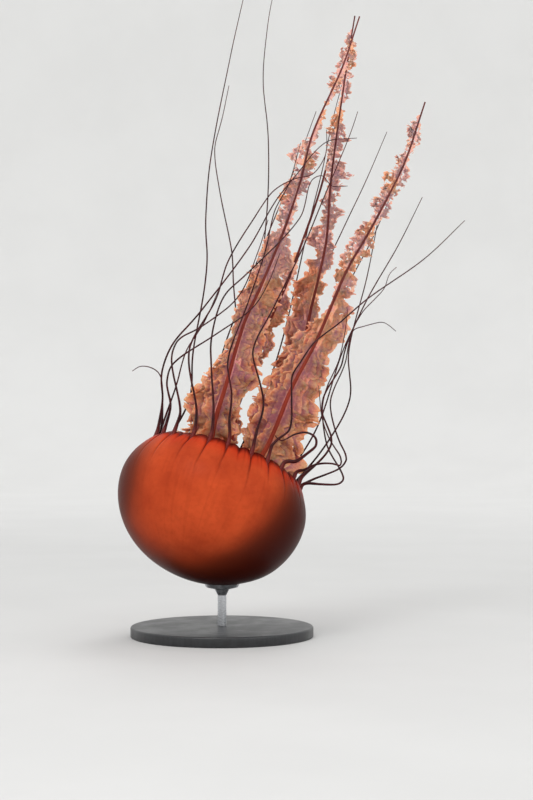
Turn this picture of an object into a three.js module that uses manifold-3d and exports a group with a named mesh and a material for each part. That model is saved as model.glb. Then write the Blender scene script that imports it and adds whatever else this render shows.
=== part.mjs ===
// A Pacific sea nettle jellyfish (Chrysaora fuscescens), life size and still, on a plain display stand.
// It swims bell first: the bell is low and banked, and the oral arms and tentacles trail up and to +X.
// Millimetres, +Z up. The origin is the centre of the stand's underside, and -Y faces the viewer.
import * as THREE from "three";
import Module from "manifold-3d";

const wasm = await Module();
wasm.setup();

// ---------------------------------------------------------------- driving dimensions

const GAP = 0.3; // between meshes that touch
const GAP_AT_CUT = 0.3; // between two quarters of the bell or two lengths of one arm or tentacle

const BELL_RADIUS = 130; // at the bell's widest ring
const CROWN_DEPTH = 110; // from the widest ring down to the crown
const SHOULDER_HEIGHT = 93.7; // vertical half axis of the ellipse above the widest ring
const MARGIN_ANGLE = 34.2; // where that ellipse stops, at the clefts of the margin
const LEAN_RIGHT = 19; // the mouth leans to +X, degrees
const LEAN_BACK = 18; // and away from the viewer, degrees
const BELL_CENTRE = new THREE.Vector3(-12, -12, 184); // middle of the widest ring

const MARGIN_THICKNESS = 4.5;
const WIDEST_THICKNESS = 9;
const CROWN_THICKNESS = 24;
const LAPPET_HEIGHT = 8;

const MANUBRIUM_RADIUS = 22;
const MANUBRIUM_TOP = -8; // above the widest ring, along the bell's axis
const SEAT_ANGLE = -76; // the inside is flat from here to the axis

const ROOT_RADIUS = 3.1;
const ROOT_LENGTH = 14; // where rings stand close together
const ROOT_TAPER = 20; // distance over which the thick root thins to the strand
const STRAND_RADIUS = 1.4;
const TIP_RADIUS = 0.45;
const BULB_HEIGHT = 4.5; // how far a tentacle's bulb stands out of its cleft
const TENTACLE_SIDES = 5;
const SAMPLE_STEP = 6; // along a tentacle, where clearances are kept
const RING_STEP = 27; // along a straight stretch of a tentacle
const RING_TURN = 0.5; // radians that one step may turn in a bend
const CLEARANCE = 2.6; // between neighbouring strands
const SHORT_TENTACLE = 215; // a tentacle shorter than this stays in one length

const BASE_RADIUS = 125;
const BASE_THICKNESS = 14;
const BASE_CHAMFER = 3;
const ROD_RADIUS = 6;
const CUP_RADIUS = 25;
const CUP_DEPTH = 9;
const CUP_LIP = 3; // how far the cup's lip rises past the bell's lowest point

// Angles round the margin, in degrees from +X towards the viewer. Each of the eight groups holds three
// tentacles; the cleft between two groups holds a sense organ.
const GROUPS = 8;
const GROUP_PITCH = 360 / GROUPS;
const FIRST_GROUP = 16.5;
// One group's rim vertices from its first cleft on, as [degrees from its middle, share of LAPPET_HEIGHT].
const RIM_VERTICES = [
  [-22.5, 0.25],
  [-20, 0.85],
  [-17.5, 0.75],
  [-13.5, 0],
  [-9, 0.95],
  [-4.5, 0.95],
  [0, 0],
  [4.5, 0.95],
  [9, 0.95],
  [13.5, 0],
  [17.5, 0.75],
  [20, 0.85],
];

// Each tentacle leaves the margin at the angle "at" and passes through the points "via", which are
// [right of the bell's centre, above it]. "back" is how far behind the bell's centre it has drifted by then.
// "stout" is a longer taper than the others', on a tentacle that is drawn in.
const TENTACLES = [
  // Near side, from the right round to the left.
  { at: 3, back: -6, via: [[140, 24], [171, 24], [178, 32], [171, 48], [157, 72], [151, 98], [149, 132],
    [156, 159], [170, 190], [178, 227], [182, 262]] },
  { at: 16.5, back: -34, via: [[129, 42], [151, 63], [161, 82], [157, 99], [148, 122], [151, 146], [173, 184],
    [180, 212], [208, 274], [250, 347], [282, 411]] },
  { at: 30, back: -64, via: [[121, 44], [140, 53], [160, 54], [172, 52], [170, 66], [159, 82], [147, 113],
    [142, 158]] },
  { at: 48, back: -78, stout: 70, via: [[111, 57], [125, 67], [138, 78], [137, 90], [125, 96], [109, 93],
    [92, 85], [84, 92]] },
  { at: 61.5, back: -62, via: [[80, 79], [88, 87], [104, 101], [106, 146], [107, 171], [120, 192], [136, 215],
    [167, 239], [208, 274], [282, 326], [336, 377]] },
  { at: 75, back: -60, via: [[58, 91], [69, 132], [63, 166], [55, 205], [80, 257], [122, 343], [147, 403],
    [184, 492], [194, 522]] },
  { at: 93, back: -70, via: [[24, 113], [27, 146], [22, 192], [46, 261], [71, 335], [84, 390], [102, 424],
    [118, 479]] },
  { at: 106.5, back: -52, via: [[3, 129], [0, 180], [0, 222], [16, 276], [49, 309], [117, 381], [132, 430],
    [147, 438], [160, 424], [181, 424]] },
  { at: 120, back: -46, via: [[-20, 129], [-30, 185], [-27, 215], [5, 272], [22, 325], [61, 389], [82, 418],
    [109, 434], [135, 441], [152, 468], [153, 500]] },
  { at: 138, back: -42, via: [[-42, 125], [-54, 192], [-45, 219], [-14, 237], [35, 277], [61, 336],
    [75, 380]] },
  { at: 151.5, back: -40, via: [[-56, 132], [-61, 162], [-52, 188], [-1, 223], [53, 261], [75, 295],
    [91, 336]] },
  { at: 165, back: -38, via: [[-68, 139], [-69, 175], [-54, 214], [-20, 253], [49, 343], [84, 404],
    [110, 437], [152, 484], [194, 490]] },
  { at: 183, back: 0, via: [[-72, 97], [-69, 139], [-71, 170], [-80, 181], [-98, 185], [-110, 178]] },
  { at: 345, back: 14, via: [[137, 29], [173, 44], [183, 58], [173, 82], [163, 113], [161, 141], [180, 188],
    [191, 233], [212, 241], [233, 245], [250, 233]] },
  // Far side.
  { at: 196.5, back: 40, via: [[-64, 125], [-52, 159], [-38, 207], [-14, 245], [6, 290]] },
  { at: 210, back: 60, via: [[-35, 139], [-30, 204], [-15, 287], [-10, 335], [-12, 386], [-5, 475], [23, 620],
    [37, 683], [45, 717]] },
  { at: 228, back: 98, via: [[-11, 139], [20, 234], [68, 356], [118, 479], [143, 547]] },
  { at: 241.5, back: 84, via: [[16, 139], [31, 220], [26, 307], [24, 347], [7, 433], [0, 492], [10, 533],
    [20, 581]] },
  { at: 255, back: 112, via: [[37, 139], [57, 234], [67, 335], [75, 433], [75, 517], [68, 596], [76, 683],
    [82, 713]] },
  { at: 273, back: 120, via: [[67, 139], [98, 234], [135, 397], [152, 465], [166, 533], [180, 588]] },
  { at: 286.5, back: 110, via: [[98, 139], [132, 248], [150, 312], [185, 389], [214, 450], [244, 520]] },
  { at: 300, back: 100, via: [[118, 125], [159, 220], [189, 302], [224, 370], [275, 492]] },
  { at: 318, back: 88, via: [[143, 98], [180, 207], [207, 261], [238, 295], [246, 316], [256, 326]] },
  { at: 331.5, back: 74, via: [[152, 71], [189, 139], [188, 207], [214, 313], [230, 396], [238, 440]] },
];

// Each oral arm grows from a corner of the manubrium's end, "root" = [right, back] of its axis, and its
// stem passes through "via" = [right of the bell's centre, above it, behind it]. "left" and "right" are how
// far its two frilled curtains reach from the stem, at even steps from its root to its tip.
const ORAL_ARMS = [
  { root: [-12, -10], via: [[1, 99, -16], [19, 162, -20], [42, 241, -18], [64, 290, -16], [95, 365, -12],
    [118, 433, -8], [136, 502, -4], [176, 592, 4], [200, 663, 10]],
    left: [7, 36, 46, 26, 13, 22, 18, 17, 22, 6, 7, 8, 4],
    right: [7, 24, 31, 37, 31, 29, 31, 7, 13, 14, 8, 8, 4] },
  { root: [12, -10], via: [[67, 64, -7], [108, 157, -12], [139, 216, -14], [181, 313, -14], [212, 367, -12],
    [244, 427, -8], [262, 465, -4], [289, 545, 4]],
    left: [7, 22, 38, 39, 33, 24, 7, 10, 18, 14, 20, 12, 4],
    right: [7, 24, 50, 42, 37, 25, 26, 21, 14, 9, 10, 9, 4] },
  { root: [12, 10], via: [[62, 70, 25], [105, 139, 35], [133, 259, 36], [155, 357, 36], [161, 433, 36],
    [170, 506, 36], [186, 615, 38], [195, 670, 40]],
    left: [7, 16, 28, 33, 31, 28, 22, 23, 9, 20, 8, 12, 4],
    right: [7, 22, 26, 24, 20, 11, 12, 14, 22, 17, 10, 10, 4] },
  { root: [-12, 10], via: [[20, 70, 46], [35, 139, 66], [70, 234, 74], [98, 295, 76], [118, 347, 76],
    [148, 433, 76], [163, 493, 76], [174, 545, 76]],
    left: [7, 20, 26, 26, 26, 24, 20, 18, 5, 4, 5, 6, 3],
    right: [7, 14, 12, 6, 8, 18, 15, 12, 4, 4, 5, 6, 3] },
];
const ARM_RING_STEP = 11.5; // along a stem
const ARM_ACROSS = [-1, -0.55, -0.13, 0.13, 0.55, 1]; // places across an arm, as shares of its curtains
const STEM_THICKNESS = 8.5; // at the root; it thins to the curtains' thickness at the tip
const CURTAIN_THICKNESS = 2;
const RUFFLE_WAVE = 37; // length of one fold along a curtain's edge
const RUFFLE_SHARE = 0.38; // height of a fold, as a share of the curtain's reach

// ---------------------------------------------------------------- small helpers

const radians = THREE.MathUtils.degToRad;
const mix = THREE.MathUtils.lerp;
const point = (x, y, z) => new THREE.Vector3(x, y, z);

const bellTurn = new THREE.Euler(-radians(LEAN_BACK), radians(LEAN_RIGHT), 0, "YXZ");
const bellAxis = point(0, 0, 1).applyEuler(bellTurn);

/** A point of the bell's own frame, whose +Z runs from crown to mouth, in the part's frame. */
const fromBell = (p) => p.clone().applyEuler(bellTurn).add(BELL_CENTRE);

/** A direction of the part's frame, in the bell's own frame. */
function toBellDirection(direction) {
  const back = new THREE.Quaternion().setFromEuler(bellTurn).invert();
  return direction.clone().applyQuaternion(back);
}

/** The value at share t, 0 to 1, of a list given at even steps. */
function along(values, t) {
  const at = Math.min(t, 1) * (values.length - 1);
  const low = Math.min(Math.floor(at), values.length - 2);
  return mix(values[low], values[low + 1], at - low);
}

// ---------------------------------------------------------------- meshes and solids

function meshGeometry(points, triangles) {
  const geometry = new THREE.BufferGeometry();
  geometry.setFromPoints(points);
  geometry.setIndex(triangles);
  return geometry;
}

/** One closed body through rings of equally many points. Flat rings are split alike on both faces. */
function loft(rings, flat = false) {
  const sides = rings[0].length;
  const triangles = [];
  for (let i = 0; i < rings.length - 1; i++) {
    for (let j = 0; j < sides; j++) {
      const a = i * sides + j;
      const b = i * sides + ((j + 1) % sides);
      const c = a + sides;
      const d = b + sides;
      if (flat && j >= sides / 2) triangles.push(a, b, c, b, d, c);
      else triangles.push(a, b, d, a, d, c);
    }
  }
  const last = (rings.length - 1) * sides;
  const cap = (a, b, c) => {
    triangles.push(a, c, b);
    triangles.push(last + a, last + b, last + c);
  };
  if (flat) {
    for (let j = 0; j < sides / 2 - 1; j++) {
      cap(j, j + 1, sides - 2 - j);
      cap(j, sides - 2 - j, sides - 1 - j);
    }
  } else {
    for (let j = 1; j < sides - 1; j++) cap(0, j, j + 1);
  }
  return meshGeometry(rings.flat(), triangles);
}

function toSolid(geometry) {
  return new wasm.Manifold(
    new wasm.Mesh({
      numProp: 3,
      vertProperties: new Float32Array(geometry.attributes.position.array),
      triVerts: new Uint32Array(geometry.index.array),
    }),
  );
}

/** The largest closed surface of a solid, as a geometry. */
function toGeometry(solid) {
  const pieces = solid.decompose().sort((a, b) => b.volume() - a.volume());
  const mesh = pieces[0].getMesh();
  const geometry = new THREE.BufferGeometry();
  geometry.setAttribute("position", new THREE.Float32BufferAttribute(mesh.vertProperties, 3));
  geometry.setIndex([...mesh.triVerts]);
  return geometry;
}

// ---------------------------------------------------------------- routes

/** A smooth line through the points, as many short steps. */
function smoothLine(points) {
  const at = [0];
  for (let i = 1; i < points.length; i++) at.push(at[i - 1] + points[i].distanceTo(points[i - 1]));
  const slopes = points.map((p, i) => {
    const before = Math.max(i - 1, 0);
    const after = Math.min(i + 1, points.length - 1);
    return points[after].clone().sub(points[before]).divideScalar(at[after] - at[before]);
  });
  const line = [];
  const parts = 12;
  for (let i = 0; i < points.length - 1; i++) {
    const span = at[i + 1] - at[i];
    for (let k = 0; k < parts; k++) {
      const t = k / parts;
      line.push(
        points[i].clone().multiplyScalar(2 * t ** 3 - 3 * t ** 2 + 1)
          .addScaledVector(slopes[i], span * (t ** 3 - 2 * t ** 2 + t))
          .addScaledVector(points[i + 1], -2 * t ** 3 + 3 * t ** 2)
          .addScaledVector(slopes[i + 1], span * (t ** 3 - t ** 2)),
      );
    }
  }
  line.push(points.at(-1).clone());
  return line;
}

/** Even samples of a line, about step apart, and its length. */
function evenSamples(line, step) {
  const at = [0];
  for (let i = 1; i < line.length; i++) at.push(at[i - 1] + line[i].distanceTo(line[i - 1]));
  const length = at.at(-1);
  const count = Math.round(length / step);
  const samples = [];
  let i = 0;
  for (let k = 0; k <= count; k++) {
    const want = (length * k) / count;
    while (i < line.length - 2 && at[i + 1] < want) i++;
    samples.push(line[i].clone().lerp(line[i + 1], (want - at[i]) / (at[i + 1] - at[i])));
  }
  return { samples, length };
}

// ---------------------------------------------------------------- bell

/** The bell's outer wall in its half plane, [radius, height], grown outwards by extra. */
function outerWall(angle, extra = 0) {
  const depth = angle < 0 ? CROWN_DEPTH : SHOULDER_HEIGHT;
  const c = Math.cos(radians(angle));
  const s = Math.sin(radians(angle));
  const normal = new THREE.Vector2(c / BELL_RADIUS, s / depth).normalize();
  return [BELL_RADIUS * c + normal.x * extra, depth * s + normal.y * extra];
}

function wallThickness(angle) {
  if (angle < 0) return mix(WIDEST_THICKNESS, CROWN_THICKNESS, (angle / 90) ** 2);
  return mix(WIDEST_THICKNESS, MARGIN_THICKNESS, angle / MARGIN_ANGLE);
}

const RIM = [];
for (let group = 0; group < GROUPS; group++) {
  for (const [offset, lift] of RIM_VERTICES) {
    RIM.push({ angle: FIRST_GROUP + group * GROUP_PITCH + offset, lift });
  }
}

/** One ring of the bell: every so many rim angles, inset from the outer wall, raised by the lappets. */
function bellRing(angle, every, inset, raised = 0) {
  const [r, z] = outerWall(angle, -inset);
  const slope = radians(angle + 90);
  const rise = new THREE.Vector2(BELL_RADIUS * Math.cos(slope), SHOULDER_HEIGHT * Math.sin(slope));
  rise.normalize();
  return RIM.filter((_, i) => i % every === 0).map((v) => {
    const lift = v.lift * raised * LAPPET_HEIGHT;
    const a = radians(v.angle);
    const radius = r + rise.x * lift;
    return point(radius * Math.cos(a), -radius * Math.sin(a), z + rise.y * lift);
  });
}

/** A closed body through rings whose counts match, halve or double, closed by a point at each end. */
function ringStack(first, rings, last) {
  const points = [first, ...rings.flat(), last];
  const triangles = [];
  const starts = [];
  let next = 1;
  for (const ring of rings) {
    starts.push(next);
    next += ring.length;
  }
  const at = (i, j) => starts[i] + (j % rings[i].length);
  rings[0].forEach((_, j) => triangles.push(0, at(0, j + 1), at(0, j)));
  for (let i = 0; i < rings.length - 1; i++) {
    const ratio = rings[i + 1].length / rings[i].length;
    const steps = Math.min(rings[i].length, rings[i + 1].length);
    for (let j = 0; j < steps; j++) {
      if (ratio === 1) {
        triangles.push(at(i, j), at(i, j + 1), at(i + 1, j + 1));
        triangles.push(at(i, j), at(i + 1, j + 1), at(i + 1, j));
      } else if (ratio === 2) {
        triangles.push(at(i, j), at(i + 1, 2 * j + 1), at(i + 1, 2 * j));
        triangles.push(at(i, j), at(i, j + 1), at(i + 1, 2 * j + 1));
        triangles.push(at(i, j + 1), at(i + 1, 2 * j + 2), at(i + 1, 2 * j + 1));
      } else {
        triangles.push(at(i, 2 * j), at(i, 2 * j + 1), at(i + 1, j));
        triangles.push(at(i, 2 * j + 1), at(i + 1, j + 1), at(i + 1, j));
        triangles.push(at(i, 2 * j + 1), at(i, 2 * j + 2), at(i + 1, j + 1));
      }
    }
  }
  const top = rings.length - 1;
  rings[top].forEach((_, j) => triangles.push(points.length - 1, at(top, j), at(top, j + 1)));
  // The rings run clockwise seen from the mouth, so each triangle is turned to face out.
  for (let i = 0; i < triangles.length; i += 3) {
    [triangles[i + 1], triangles[i + 2]] = [triangles[i + 2], triangles[i + 1]];
  }
  return meshGeometry(points, triangles);
}

const OUTER_RINGS = [
  [-79, 4], [-68, 4], [-57, 2], [-46, 2], [-35, 2], [-24, 2], [-12, 2], [0, 2], [11, 2], [20, 1], [28, 1],
];
const INNER_RINGS = [
  [27, 1], [17, 2], [5, 2], [-8, 2], [-22, 2], [-37, 2], [-51, 2], [-64, 4], [SEAT_ANGLE, 4],
];

function outerRings(extra) {
  return OUTER_RINGS.map(([angle, every]) => bellRing(angle, every, -extra));
}

/** The bell's whole outer form with no hollow, grown by extra, to cut its neighbours with. */
function bellEnvelope(extra) {
  const rings = [...outerRings(extra), bellRing(MARGIN_ANGLE, 1, -extra, 1)];
  const [, top] = outerWall(MARGIN_ANGLE);
  return toSolid(ringStack(point(0, 0, -CROWN_DEPTH - extra), rings, point(0, 0, top)));
}

function bellShell() {
  const rings = [
    ...outerRings(0),
    bellRing(MARGIN_ANGLE, 1, 0, 1),
    bellRing(MARGIN_ANGLE, 1, MARGIN_THICKNESS, 1),
    ...INNER_RINGS.map(([angle, every]) => bellRing(angle, every, wallThickness(angle))),
  ];
  const [, seat] = outerWall(SEAT_ANGLE, -wallThickness(SEAT_ANGLE));
  return toSolid(ringStack(point(0, 0, -CROWN_DEPTH), rings, point(0, 0, seat)));
}

/** The middle of the margin's edge at an angle round it, in the bell's own frame. */
function marginPoint(degrees, angle = MARGIN_ANGLE, inset = MARGIN_THICKNESS / 2) {
  const [r, z] = outerWall(angle, -inset);
  const a = radians(degrees);
  return point(r * Math.cos(a), -r * Math.sin(a), z);
}

/** Regular rings of points round a line, square to it, with a radius at each point. */
function tubeRings(line, radii, sides, firstHeading) {
  let normal = point(0, 1, 0);
  return line.map((p, i) => {
    const heading = line[Math.min(i + 1, line.length - 1)].clone().sub(line[Math.max(i - 1, 0)]).normalize();
    if (i === 0 && firstHeading) heading.copy(firstHeading);
    normal = normal.clone().addScaledVector(heading, -normal.dot(heading)).normalize();
    const binormal = heading.clone().cross(normal);
    return Array.from({ length: sides }, (_, j) => {
      const a = (2 * Math.PI * j) / sides;
      const [c, s] = [radii[i] * Math.cos(a), radii[i] * Math.sin(a)];
      return p.clone().addScaledVector(normal, c).addScaledVector(binormal, s);
    });
  });
}

/** The bulb that a tentacle grows from: it runs inside the wall up to the cleft, then stands out of it. */
function bulbSolid(tentacle) {
  const heading = toBellDirection(tentacle.heading);
  const cleft = marginPoint(tentacle.at);
  const line = [
    marginPoint(tentacle.at, MARGIN_ANGLE - 6, wallThickness(MARGIN_ANGLE - 6) / 2),
    cleft,
    cleft.clone().addScaledVector(heading, BULB_HEIGHT),
  ];
  const radii = [1.6, ROOT_RADIUS + 0.5, ROOT_RADIUS + 0.2];
  const rings = tubeRings(line, radii, 6);
  rings[2] = tubeRings([line[2], line[2].clone().add(heading)], [radii[2], radii[2]], 6)[0];
  return toSolid(loft(rings));
}

/** A quarter of the bell, about an angle round the margin, cut through the clefts that hold sense organs. */
function bellQuarter(bell, middle) {
  const side = (degrees) => [Math.cos(radians(degrees)), -Math.sin(radians(degrees)), 0];
  const half = 45;
  const quarter = bell
    .trimByPlane(side(middle - half + 90), GAP_AT_CUT / 2)
    .trimByPlane(side(middle + half - 90), GAP_AT_CUT / 2);
  return toGeometry(quarter);
}

// ---------------------------------------------------------------- tentacles

/** Adds to a tentacle its root, its first heading, its samples and its length, before clearances are kept. */
function routeTentacle(tentacle) {
  const cleft = fromBell(marginPoint(tentacle.at));
  const via = tentacle.via.map(([x, z]) => point(x, 0, z).add(BELL_CENTRE));
  via.forEach((p) => (p.y = cleft.y));
  const heading = via[0].clone().sub(cleft).normalize().multiplyScalar(0.4).add(bellAxis).normalize();
  const root = cleft.addScaledVector(heading, BULB_HEIGHT + GAP);
  const line = [root, root.clone().addScaledVector(heading, 9), ...via];
  let length = 0;
  const runs = line.map((p, i) => (length += i ? p.distanceTo(line[i - 1]) : 0));
  line.forEach((p, i) => {
    if (i < 2) return;
    const share = THREE.MathUtils.smoothstep(runs[i], 0, 0.6 * length);
    p.y = mix(root.y, BELL_CENTRE.y + tentacle.back, share);
  });
  return { ...tentacle, heading, ...evenSamples(smoothLine(line), SAMPLE_STEP) };
}

/** A tentacle's radius at a distance from its root: a bulbous root, then an even taper to the tip. */
function tentacleRadius(tentacle, distance) {
  const rest = Math.max(0, 1 - distance / tentacle.length);
  const root = (ROOT_RADIUS - STRAND_RADIUS) * Math.exp(-distance / (tentacle.stout ?? ROOT_TAPER));
  return TIP_RADIUS + (STRAND_RADIUS - TIP_RADIUS) * rest ** 0.8 + root;
}

/** Moves the tentacles forwards or backwards, never sideways, until none comes too near another or an arm. */
function keepClear(tentacles, arms) {
  const rounds = 140;
  const settled = 80; // after this round nothing is smoothed
  const firstFree = 3;
  for (let round = 0; round < rounds; round++) {
    for (const t of tentacles) {
      t.push = t.samples.map(() => 0);
      t.shove = t.samples.map(() => 0);
    }
    tentacles.forEach((t, ti) => {
      for (let i = firstFree; i < t.samples.length; i++) {
        const p = t.samples[i];
        const radius = tentacleRadius(t, (t.length * i) / (t.samples.length - 1));
        for (const arm of arms) pushOffArm(t, i, p, radius, arm);
        for (let ui = 0; ui < tentacles.length; ui++) {
          if (ui !== ti) pushOffStrand(t, i, p, radius, tentacles[ui], ti < ui ? -1 : 1);
        }
      }
    });
    for (const t of tentacles) {
      t.samples.forEach((p, i) => (p.y += t.push[i] + t.shove[i]));
      if (round >= settled) continue;
      const y = t.samples.map((p) => p.y);
      for (let i = firstFree; i < y.length - 1; i++) {
        t.samples[i].y += 0.3 * ((y[i - 1] + y[i + 1]) / 2 - y[i]);
      }
    }
  }
}

function pushOffArm(t, i, p, radius, arm) {
  for (const s of arm.envelope) {
    if (Math.abs(p.x - s.x) > s.reach + 12 || Math.abs(p.z - s.z) > s.reach + 12) continue;
    const alongArm = (p.x - s.x) * s.heading.x + (p.z - s.z) * s.heading.z;
    if (Math.abs(alongArm) > ARM_RING_STEP) continue;
    const across = (p.x - s.x) * s.across.x + (p.z - s.z) * s.across.z;
    if (across < -s.left - radius - 2 || across > s.right + radius + 2) continue;
    const need = s.depth + radius + 1.5;
    const offset = p.y - s.y;
    const side = t.at <= 190 || t.at === 345 ? -1 : 1;
    if (offset * side < need) t.push[i] += (side * need - offset) * 0.5;
  }
}

function pushOffStrand(t, i, p, radius, other, tie) {
  for (let j = 0; j < other.samples.length - 1; j++) {
    const a = other.samples[j];
    if (Math.abs(p.x - a.x) > 14 || Math.abs(p.z - a.z) > 14 || Math.abs(p.y - a.y) > 14) continue;
    const b = other.samples[j + 1];
    const span = b.clone().sub(a);
    const share = THREE.MathUtils.clamp(p.clone().sub(a).dot(span) / span.lengthSq(), 0, 1);
    const near = a.clone().addScaledVector(span, share);
    const need = radius + tentacleRadius(other, (other.length * j) / (other.samples.length - 1)) + CLEARANCE;
    const distance = p.distanceTo(near);
    if (distance >= need) continue;
    const side = Math.abs(p.y - near.y) > 0.2 ? Math.sign(p.y - near.y) : tie;
    for (const [k, part] of [[-1, 0.3], [0, 0.5], [1, 0.3]]) {
      const shove = side * (need - distance) * part;
      if (i + k > 2 && i + k < t.shove.length && Math.abs(t.shove[i + k]) < Math.abs(shove)) {
        t.shove[i + k] = shove;
      }
    }
  }
}

/** The point and radius at a distance along a tentacle. */
function atDistance(tentacle, distance) {
  const place = (distance / tentacle.length) * (tentacle.samples.length - 1);
  const low = Math.min(Math.floor(place), tentacle.samples.length - 2);
  return tentacle.samples[low].clone().lerp(tentacle.samples[low + 1], place - low);
}

/** Distances for rings between two places on a tentacle: even, but closer together where it bends. */
function ringDistances(tentacle, from, to) {
  const fine = 3;
  const count = Math.ceil((to - from) / fine);
  const places = Array.from({ length: count + 1 }, (_, i) => mix(from, to, i / count));
  const spent = [0];
  for (let i = 1; i <= count; i++) {
    const before = atDistance(tentacle, Math.max(places[i] - 4, 0));
    const here = atDistance(tentacle, places[i]);
    const after = atDistance(tentacle, Math.min(places[i] + 4, tentacle.length));
    const turn = here.clone().sub(before).angleTo(after.clone().sub(here));
    spent.push(spent[i - 1] + fine / RING_STEP + (turn * fine) / 4 / RING_TURN);
  }
  const steps = Math.max(4, Math.ceil(spent[count]));
  const distances = [from];
  let i = 0;
  for (let k = 1; k < steps; k++) {
    const want = (spent[count] * k) / steps;
    while (spent[i + 1] < want) i++;
    distances.push(mix(places[i], places[i + 1], (want - spent[i]) / (spent[i + 1] - spent[i])));
  }
  distances.push(to);
  return distances;
}

function tentacleMeshes(tentacle, name, material) {
  const parts = tentacle.length < SHORT_TENTACLE ? [""] : ["_near", "_far"];
  const cut = tentacle.length / parts.length;
  const heading = atDistance(tentacle, cut + 2).sub(atDistance(tentacle, cut - 2)).normalize();
  return parts.map((part, index) => {
    const from = index * cut + (index ? GAP_AT_CUT / 2 : 0);
    const to = (index + 1) * cut - (index < parts.length - 1 ? GAP_AT_CUT / 2 : 0);
    const start = index ? from : from + ROOT_LENGTH;
    const distances = ringDistances(tentacle, start, to);
    if (index === 0) distances.unshift(from, from + ROOT_LENGTH / 2);
    const line = distances.map((d) => atDistance(tentacle, d));
    const radii = distances.map((d) => tentacleRadius(tentacle, d));
    const rings = tubeRings(line, radii, TENTACLE_SIDES, index ? heading : tentacle.heading);
    if (index < parts.length - 1) {
      const end = [line.at(-1), line.at(-1).clone().add(heading)];
      rings[rings.length - 1] = squareTo(rings.at(-1), end[0], heading);
    }
    return namedMesh(name + part, loft(rings), material);
  });
}

/** A ring of points pressed flat onto the plane through a point, square to a heading. */
function squareTo(ring, through, heading) {
  return ring.map((p) => p.clone().addScaledVector(heading, -p.clone().sub(through).dot(heading)));
}

// ---------------------------------------------------------------- manubrium and oral arms

/** The column under the bell's centre: round where it is seated, four-cornered where the arms leave it. */
function manubriumGeometry() {
  const sides = 24;
  const [, seat] = outerWall(SEAT_ANGLE, -wallThickness(SEAT_ANGLE));
  const levels = [
    [seat + GAP, 1, 0],
    [seat + 14, 0.84, 0.04],
    [seat + 34, 0.8, 0.1],
    [MANUBRIUM_TOP - 16, 0.95, 0.16],
    [MANUBRIUM_TOP, 1.12, 0.2],
  ];
  const rings = levels.map(([z, swell, corners]) =>
    Array.from({ length: sides }, (_, j) => {
      const a = (2 * Math.PI * j) / sides;
      const r = MANUBRIUM_RADIUS * swell * (1 - corners * Math.cos(4 * a));
      return point(r * Math.cos(a), r * Math.sin(a), z);
    }),
  );
  return loft(rings);
}

/** Adds to an arm its even samples, and the frame and reach at each of them. */
function routeArm(arm, index) {
  const [rootRight, rootBack] = arm.root;
  const root = fromBell(point(rootRight, rootBack, MANUBRIUM_TOP + GAP));
  const via = arm.via.map(([x, z, y]) => point(x, y, z).add(BELL_CENTRE));
  const line = [root, root.clone().addScaledVector(bellAxis, 14), ...via];
  const { samples, length } = evenSamples(smoothLine(line), ARM_RING_STEP);
  const stations = samples.map((p, i) => {
    const before = samples[Math.max(i - 1, 0)];
    const after = samples[Math.min(i + 1, samples.length - 1)];
    const heading = i ? after.clone().sub(before).normalize() : bellAxis.clone();
    const across = point(0, 1, 0).cross(heading).normalize();
    const front = across.clone().cross(heading).normalize();
    const t = i / (samples.length - 1);
    return { p, heading, across, front, t, distance: t * length };
  });
  const envelope = stations.map((s) => {
    const left = armReach(arm, index, s, -1);
    const right = armReach(arm, index, s, 1);
    const reach = Math.max(left, right);
    return { x: s.p.x, y: s.p.y, z: s.p.z, heading: s.heading, across: s.across, left, right, reach,
      depth: RUFFLE_SHARE * reach + STEM_THICKNESS / 2 };
  });
  return { ...arm, index, stations, envelope, length };
}

/** How far a curtain reaches from the stem, with the uneven edge of the real one. */
function armReach(arm, index, station, side) {
  const reach = along(side < 0 ? arm.left : arm.right, station.t);
  const s = station.distance;
  const uneven = 0.08 * Math.sin(s / 9.3 + index * 1.7 + side) + 0.06 * Math.sin(s / 17 + index + side * 2.1);
  const grown = Math.min(1, s / 60);
  return reach * (1 + uneven * grown);
}

/** One ring of an arm: two ruffled curtains either side of a thicker stem. */
function armRing(arm, station) {
  const thin = 1 - station.t;
  const grown = Math.min(1, station.distance / 45);
  const places = ARM_ACROSS.map((u) => {
    const side = Math.sign(u);
    const out = Math.abs(u);
    const reach = armReach(arm, arm.index, station, side);
    const phase = (2 * Math.PI * station.distance) / RUFFLE_WAVE + arm.index * 2 + (side > 0 ? 1.9 : 0);
    const ruffle = grown * RUFFLE_SHARE * reach * out ** 1.4 * Math.sin(phase + out * 0.9);
    const stem = out < 0.2 ? mix(CURTAIN_THICKNESS, STEM_THICKNESS, thin ** 0.7) : CURTAIN_THICKNESS;
    const offset = out < 0.2 ? side * mix(1.2, 4, thin) : u * reach;
    const middle = station.p.clone().addScaledVector(station.across, offset);
    middle.addScaledVector(station.front, ruffle);
    return { middle, half: stem / 2 };
  });
  const face = (sign) => places.map((q) => q.middle.clone().addScaledVector(station.front, sign * q.half));
  return [...face(1), ...face(-1).reverse()];
}

function armMeshes(arm, name, material) {
  const middle = Math.round(arm.stations.length / 2.2);
  const cut = arm.stations[middle];
  const moved = (sign) => ({
    ...cut,
    p: cut.p.clone().addScaledVector(cut.heading, (sign * GAP_AT_CUT) / 2),
  });
  const near = [...arm.stations.slice(0, middle), moved(-1)];
  const far = [moved(1), ...arm.stations.slice(middle + 1)];
  return [["_near", near], ["_far", far]].map(([part, stations]) => {
    const rings = stations.map((station) => armRing(arm, station));
    return namedMesh(name + part, loft(rings, true), material);
  });
}

// ---------------------------------------------------------------- stand

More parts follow.
